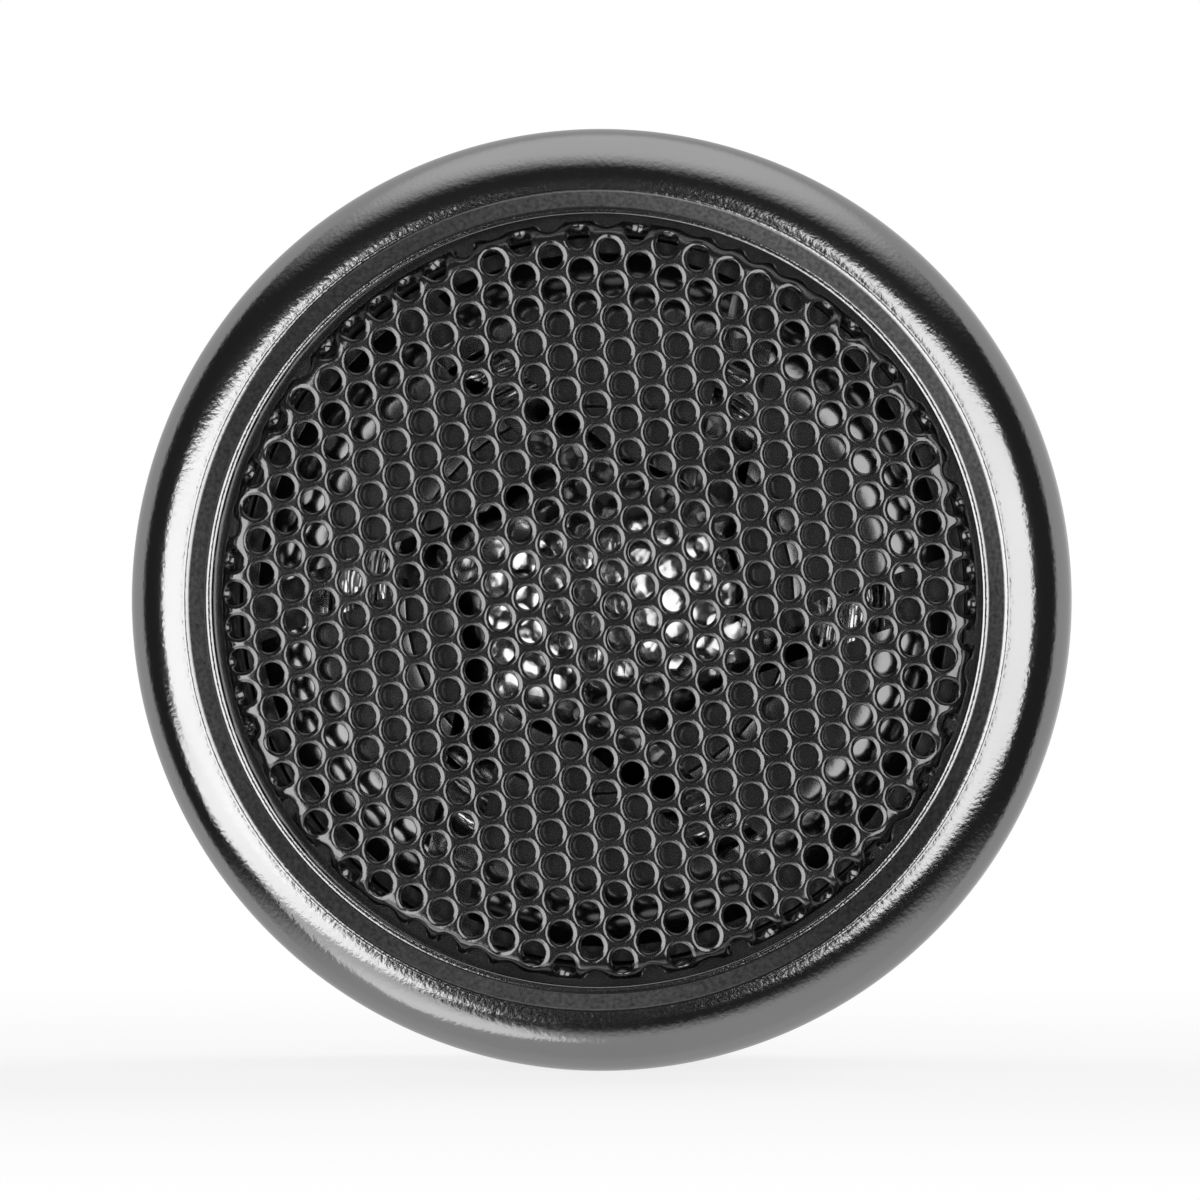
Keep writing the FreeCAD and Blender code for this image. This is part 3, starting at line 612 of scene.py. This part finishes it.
def cell_rings(x, y):
    """Rings of points of one punched cell, each point kept within the sheet's radius."""
    rings = []
    half = hole_pitch / 2
    for ring_radius, depth in [(None, 0.0)] + CELL_RINGS + [(None, grille_sheet)]:
        ring = []
        for k in range(CELL_POINTS):
            degrees = 360.0 * k / CELL_POINTS
            radius = ring_radius
            if radius is None:
                radius = half / math.cos(math.radians((degrees + 30) % 60 - 30))
            turn = math.radians(hole_row_angle + degrees)
            px = x + radius * math.cos(turn) - hole_lean * min(depth / hole_rollover, 1.0)
            py = y + radius * math.sin(turn)
            over = math.hypot(px, py) / blank_radius
            if over > 1:
                px, py = px / over, py / over
            ring.append(formed(px, py, depth))
        rings.append(ring)
    return rings


def grille():
    """Punched sheet built cell by cell, its edge bent down, and the flange under the bezel."""
    verts = []
    faces = []
    reach = int(blank_radius / hole_pitch) * 2 + 4
    row = math.radians(hole_row_angle)
    next_row = math.radians(hole_row_angle + 60)
    across = Vector((math.cos(row), math.sin(row)))
    along = Vector((math.cos(next_row), math.sin(next_row)))
    for i in range(-reach, reach + 1):
        for j in range(-reach, reach + 1):
            centre = Vector((hole_shift_x, hole_shift_y)) + (across * i + along * j) * hole_pitch
            if centre.length > blank_radius + hole_pitch / 2:
                continue
            rings = cell_rings(centre.x, centre.y)
            for a, b in zip(range(len(rings)), range(1, len(rings))):
                start = len(verts)
                verts += rings[a] + rings[b]
                for k in range(CELL_POINTS):
                    m = (k + 1) % CELL_POINTS
                    faces.append((start + k, start + m, start + CELL_POINTS + m, start + CELL_POINTS + k))
    inner = grille_radius - grille_sheet
    flange = [
        (inner, flange_top), (grille_flange_radius, flange_top),
        (grille_flange_radius, flange_top + grille_sheet), (inner, flange_top + grille_sheet),
    ]
    more_verts, more_faces = lathe_mesh(flange, grille_flange_steps)
    offset = len(verts)
    verts += more_verts
    faces += [tuple(i + offset for i in face) for face in more_faces]
    piece = add_object("grille_sheet", verts, faces, 60)
    return place(piece, SPEAKER, "black_steel", FINISH["black_steel"], "grille")


# --- Petal guard -----------------------------------------------------------------------------------
def petal_outline():
    """Closed (radius, height) outline of a petal, from its mouth over the shoulder and back."""
    foot = guard_top - guard_shoulder_drop
    under = guard_top - petal_thickness
    low = guard_top - petal_step_depth
    across = guard_shoulder_end - guard_shoulder_start
    shoulder = quarter_ellipse((guard_shoulder_start, foot), across, guard_shoulder_drop, 28)
    hollow_centre = (guard_inner_radius - guard_inner_round, under - guard_inner_round)
    hollow = quarter_ellipse(hollow_centre, guard_inner_round, guard_inner_round, 12)
    outline = [(petal_mouth_radius, under)]
    outline += arc((petal_mouth_radius + edge_round, low - edge_round), edge_round, 180, 90, 4)
    outline += [(petal_low_division, low), (petal_step_radius - edge_round, low)]
    outline += arc((petal_step_radius + edge_round, guard_top - edge_round), edge_round, 180, 90, 4)
    outline += [(division, guard_top) for division in petal_top_divisions]
    outline += list(reversed(shoulder))
    outline += [point for point in hollow if point[1] > foot]
    outline += [(division, under) for division in petal_under_divisions]
    return outline


def petal_limits(radius, number):
    """Start and end angle of a petal at a radius, between two straight slots."""
    near = math.asin((petal_slot_offset - petal_slot_width / 2) / radius)
    far = math.asin((petal_slot_offset + petal_slot_width / 2) / radius)
    pitch = 2 * math.pi / petal_count
    slot = math.radians(petal_slot_angle) + pitch * number
    return slot - near, slot + pitch - far


def guard():
    """Six petals between their slots, standing on the guard's base ring."""
    outline = petal_outline()
    verts = []
    faces = []
    for number in range(petal_count):
        base = len(verts)
        count = len(outline)
        for k in range(petal_steps + 1):
            for radius, height in outline:
                start, end = petal_limits(radius, number)
                turn = start + (end - start) * k / petal_steps
                verts.append(spot(radius * math.cos(turn), radius * math.sin(turn), height))
        for k in range(petal_steps):
            for i in range(count):
                j = (i + 1) % count
                near = base + k * count
                far = near + count
                faces.append((near + i, near + j, far + j, far + i))
        faces.append(tuple(base + i for i in range(count)))
        faces.append(tuple(base + petal_steps * count + i for i in range(count)))
    foot = guard_top - guard_shoulder_drop
    clamp = film_back + film
    rim_pocket = rim_radius + guard_rim_slip
    ring = [
        (guard_inner_radius, clamp), (rim_pocket, clamp), (rim_pocket, guard_back),
        (guard_radius, guard_back), (guard_radius, foot - edge_round), (guard_radius - edge_round, foot),
        (guard_inner_radius, foot),
    ]
    more_verts, more_faces = lathe_mesh(ring, guard_steps)
    offset = len(verts)
    verts += more_verts
    faces += [tuple(i + offset for i in face) for face in more_faces]
    piece = add_object("guard_petals", verts, faces, 32)
    bevel = piece.modifiers.new("eased_edges", "BEVEL")
    bevel.width = edge_round * MM
    bevel.segments = 2
    bevel.limit_method = "ANGLE"
    bevel.angle_limit = math.radians(55)
    return place(piece, SPEAKER, "gloss_black", FINISH["gloss_black"], "petal_guard")


# --- Film ------------------------------------------------------------------------------------------
# Creases per millimetre, the noise's layer and the share of the depth, from broad to fine.
CREASES = [(0.55, 3.1, 1.0), (1.25, 7.7, 0.55), (2.6, 1.9, 0.22)]


def crinkle(x, y, depth):
    """Height of the film's creases at a place, in millimetres."""
    total = 0.0
    for rate, layer, share in CREASES:
        total += share * abs(noise.noise(Vector((x * rate, y * rate, layer))))
    return depth * total


def film_piece(name, profile, depth):
    """Thin closed film: a creased upper skin and the same skin below it."""
    verts = []
    faces = []
    count = len(profile)
    for k in range(film_steps):
        turn = 2 * math.pi * k / film_steps
        for side in (0.0, film):
            for index, (radius, height) in enumerate(profile):
                x, y = radius * math.cos(turn), radius * math.sin(turn)
                ends = index in (0, count - 1) and radius > 0
                rise = 0.0 if ends else crinkle(x, y, depth)
                verts.append(spot(x, y, height - side - rise))
    for k in range(film_steps):
        near = k * 2 * count
        far = (k + 1) % film_steps * 2 * count
        for side in (0, count):
            for i in range(count - 1):
                faces.append((near + side + i, near + side + i + 1, far + side + i + 1, far + side + i))
        for i in (0, count - 1):
            faces.append((near + i, near + count + i, far + count + i, far + i))
    return add_object(name, verts, faces, 80)


def film_dome():
    """Crinkled dome with its narrow seat."""
    sphere = (dome_radius ** 2 + dome_height ** 2) / (2 * dome_height)
    centre = dome_crown - sphere
    profile = []
    for k in range(dome_rings + 1):
        radius = dome_radius * k / dome_rings
        pressed = crown_press * math.exp(-(radius / crown_press_radius) ** 2)
        profile.append((radius, centre + math.sqrt(sphere ** 2 - radius ** 2) - pressed))
    profile.append((dome_seat_radius, film_back + film))
    piece = film_piece("film_dome", profile, dome_crease)
    return place(piece, MOVING, "metallised_film", FINISH["metallised_film"], "dome")


def film_surround():
    """Crinkled half roll from the dome to the rim."""
    top = film_back + film
    roll = arc((roll_start_radius + roll_radius, top), roll_radius, 180, 0, 26)
    profile = roll + [(rim_radius - rim_width, top), (rim_radius, top)]
    piece = film_piece("film_surround", profile, surround_crease)
    return place(piece, SPEAKER, "metallised_film", FINISH["metallised_film"], "surround")


# --- Gasket ----------------------------------------------------------------------------------------
def gasket():
    """Foam ring with soft edges, slightly uneven on both its sides."""
    gasket_middle = (gasket_inner_radius + gasket_outer_radius) / 2
    verts = []
    faces = []
    corners = []
    for centre_r, centre_h, start in (
        (gasket_outer_radius - gasket_round, gasket_front - gasket_round, 90),
        (gasket_inner_radius + gasket_round, gasket_front - gasket_round, 180),
        (gasket_inner_radius + gasket_round, gasket_round, 270),
        (gasket_outer_radius - gasket_round, gasket_round, 360),
    ):
        corners += arc((centre_r, centre_h), gasket_round, start - 90, start, 5)
    count = len(corners)
    for k in range(gasket_steps):
        turn = 2 * math.pi * k / gasket_steps
        for radius, height in corners:
            x, y = math.cos(turn), math.sin(turn)
            around = radius * ripple_rate_around
            wave = noise.noise(Vector((x * around, y * around, height * ripple_rate_along)))
            ripple = gasket_ripple * abs(wave)
            inward = ripple if radius > gasket_middle else -ripple
            verts.append(spot(x * (radius - inward), y * (radius - inward), height))
    for k in range(gasket_steps):
        near = k * count
        far = (k + 1) % gasket_steps * count
        for i in range(count):
            j = (i + 1) % count
            faces.append((near + i, near + j, far + j, far + i))
    piece = add_object("gasket_foam", verts, faces, 60)
    place(piece, SPEAKER, "foam", FINISH["foam"], "flange_gasket")
    return piece


# --- Pieces taken from their CAD shape with eased edges ----------------------------------------------
def eased(node, name, width):
    """A copy of a node's mesh, welded, with its sharp edges rounded."""
    mesh = frame["nodes"][node].data.copy()
    mesh.name = name
    work = bmesh.new()
    work.from_mesh(mesh)
    bmesh.ops.remove_doubles(work, verts=work.verts, dist=cad_weld_distance)
    flat = math.radians(cad_flat_angle)
    bmesh.ops.dissolve_limit(work, angle_limit=flat, verts=work.verts, edges=work.edges)
    bmesh.ops.recalc_face_normals(work, faces=work.faces)
    work.to_mesh(mesh)
    work.free()
    mesh.shade_smooth()
    mesh.set_sharp_from_angle(angle=math.radians(cad_sharp_angle))
    piece = bpy.data.objects.new(name, mesh)
    bpy.context.scene.collection.objects.link(piece)
    bevel = piece.modifiers.new("eased_edges", "BEVEL")
    bevel.width = width * MM
    bevel.segments = 2
    bevel.limit_method = "ANGLE"
    bevel.angle_limit = math.radians(cad_bevel_angle)
    bevel.use_clamp_overlap = True
    entry = next(e for e in frame["record"]["subparts"] if e["node"] == node)
    body = next(b for b, nodes in frame["record"]["behaviour"]["bodies"].items() if node in nodes)
    return place(piece, body, entry["material_slot"], FINISH[entry["material_slot"]], node)


bezel()
grille()
guard()
film_dome()
film_surround()
gasket()
eased("housing", "housing_shell", 0.12)
eased("rear_cover", "cover_shell", 0.10)
eased("cover_screws", "cover_screw_set", 0.05)
eased("terminal_positive", "blade_wide", 0.07)
eased("terminal_negative", "blade_narrow", 0.07)
eased("terminal_rivets", "rivet_set", 0.08)
for number in (1, 2, 3):
    eased("spring_clip_" + str(number), "clip_leaf_" + str(number), 0.06)


# --- Floor, light and world ---------------------------------------------------------------------------
floor_half = 3.0             # metres, like the rest of this section
floor_grey = 0.95
floor_whiteness = 0.82       # share of plain white in the floor near the speaker
floor_fade_start = 0.03
floor_fade_end = 0.13
lamp_distance = 0.70
world_base = 0.03
world_ambient = 0.30
# Direction of each bright zone of the world, where it starts and ends along it, and its level.
WORLD_ZONES = [("Y", 0.0, 0.18, 0.54), ("Z", -0.50, -0.76, 0.50), ("Z", 0.60, 0.95, 0.90)]


def floor():
    """Pale floor that the bezel's edge stands on; it keeps the shadow near it and is white far off."""
    half = floor_half
    level = cad_low.z
    mesh = bpy.data.meshes.new("floor")
    corners = [(-half, -half, level), (half, -half, level), (half, half, level), (-half, half, level)]
    mesh.from_pydata(corners, [], [(0, 1, 2, 3)])
    plane = bpy.data.objects.new("floor", mesh)
    bpy.context.scene.collection.objects.link(plane)
    material = bpy.data.materials.new("floor")
    material.use_nodes = True
    tree = material.node_tree
    shader = tree.nodes["Principled BSDF"]
    shader.inputs["Roughness"].default_value = 0.9
    shader.inputs["Base Color"].default_value = (floor_grey, floor_grey, floor_grey, 1.0)
    white = tree.nodes.new("ShaderNodeEmission")
    path = tree.nodes.new("ShaderNodeLightPath")
    where = tree.nodes.new("ShaderNodeTexCoord")
    length = tree.nodes.new("ShaderNodeVectorMath")
    length.operation = "LENGTH"
    tree.links.new(where.outputs["Object"], length.inputs[0])
    fade = tree.nodes.new("ShaderNodeMapRange")
    fade.interpolation_type = "SMOOTHSTEP"
    fade.inputs["From Min"].default_value = floor_fade_start
    fade.inputs["From Max"].default_value = floor_fade_end
    fade.inputs["To Min"].default_value = floor_whiteness
    tree.links.new(length.outputs["Value"], fade.inputs["Value"])
    part = tree.nodes.new("ShaderNodeMath")
    part.operation = "MULTIPLY"
    tree.links.new(fade.outputs["Result"], part.inputs[1])
    mix = tree.nodes.new("ShaderNodeMixShader")
    tree.links.new(path.outputs["Is Camera Ray"], part.inputs[0])
    tree.links.new(part.outputs[0], mix.inputs["Fac"])
    tree.links.new(shader.outputs["BSDF"], mix.inputs[1])
    tree.links.new(white.outputs["Emission"], mix.inputs[2])
    tree.links.new(mix.outputs["Shader"], tree.nodes["Material Output"].inputs["Surface"])
    mesh.materials.append(material)
    plane.visible_glossy = False


def softbox(name, azimuths, elevations, radiance, seen_in_gloss=True):
    """A rectangular light that fills a range of directions as the object sees them."""
    azimuth = math.radians(sum(azimuths) / 2)
    elevation = math.radians(sum(elevations) / 2)
    half_width = math.tan(math.radians(azimuths[1] - azimuths[0]) / 2) * math.cos(elevation)
    half_height = math.tan(math.radians(elevations[1] - elevations[0]) / 2)
    level = math.cos(elevation)
    towards = Vector((math.sin(azimuth) * level, -math.cos(azimuth) * level, math.sin(elevation)))
    data = bpy.data.lights.new(name, "AREA")
    data.shape = "RECTANGLE"
    data.size = 2 * lamp_distance * half_width
    data.size_y = 2 * lamp_distance * half_height
    data.energy = math.pi * data.size * data.size_y * radiance
    light = bpy.data.objects.new(name, data)
    light.location = towards * lamp_distance
    light.rotation_euler = (-towards).to_track_quat("-Z", "Y").to_euler()
    light.visible_camera = False
    light.visible_glossy = seen_in_gloss
    bpy.context.scene.collection.objects.link(light)


def world():
    """White to the camera; grey behind, below and above and dark in front to reflections."""
    made = bpy.data.worlds.new("studio")
    bpy.context.scene.world = made
    made.use_nodes = True
    tree = made.node_tree
    nodes = tree.nodes
    links = tree.links
    nodes.clear()
    where = nodes.new("ShaderNodeTexCoord")
    split = nodes.new("ShaderNodeSeparateXYZ")
    links.new(where.outputs["Generated"], split.inputs["Vector"])
    total = None
    for axis, start, end, level in WORLD_ZONES:
        zone = nodes.new("ShaderNodeMapRange")
        zone.interpolation_type = "SMOOTHSTEP"
        zone.inputs["From Min"].default_value = start
        zone.inputs["From Max"].default_value = end
        zone.inputs["To Max"].default_value = level
        links.new(split.outputs[axis], zone.inputs["Value"])
        if total is None:
            total = zone.outputs["Result"]
            continue
        largest = nodes.new("ShaderNodeMath")
        largest.operation = "MAXIMUM"
        links.new(total, largest.inputs[0])
        links.new(zone.outputs["Result"], largest.inputs[1])
        total = largest.outputs["Value"]
    base = nodes.new("ShaderNodeMath")
    base.operation = "ADD"
    base.inputs[1].default_value = world_base
    links.new(total, base.inputs[0])
    path = nodes.new("ShaderNodeLightPath")
    ambient = nodes.new("ShaderNodeMix")
    ambient.data_type = "FLOAT"
    ambient.inputs[2].default_value = world_ambient
    links.new(path.outputs["Is Glossy Ray"], ambient.inputs[0])
    links.new(base.outputs["Value"], ambient.inputs[3])
    seen = nodes.new("ShaderNodeMix")
    seen.data_type = "FLOAT"
    seen.inputs[3].default_value = 1.0
    links.new(path.outputs["Is Camera Ray"], seen.inputs[0])
    links.new(ambient.outputs[0], seen.inputs[2])
    background = nodes.new("ShaderNodeBackground")
    background.inputs["Color"].default_value = (1.0, 1.0, 1.0, 1.0)
    links.new(seen.outputs[0], background.inputs["Strength"])
    output = nodes.new("ShaderNodeOutputWorld")
    links.new(background.outputs["Background"], output.inputs["Surface"])


floor()
world()
# Azimuths are right of the object's front, elevations above it, both in degrees.
softbox("softbox_right", (4, 44), (-17, 19), 2.1)
softbox("softbox_left", (-50, -13), (-13, 12), 2.5)
softbox("softbox_left_low", (-60, -14), (-27, -13), 2.3)
softbox("card_low_left", (-52, -17), (-58, -26), 0.9)
softbox("rear_key", (120, 160), (15, 55), 4.0, False)
softbox("rear_fill", (-150, -110), (5, 45), 2.6, False)

scene = bpy.context.scene
scene.view_settings.view_transform = "Standard"
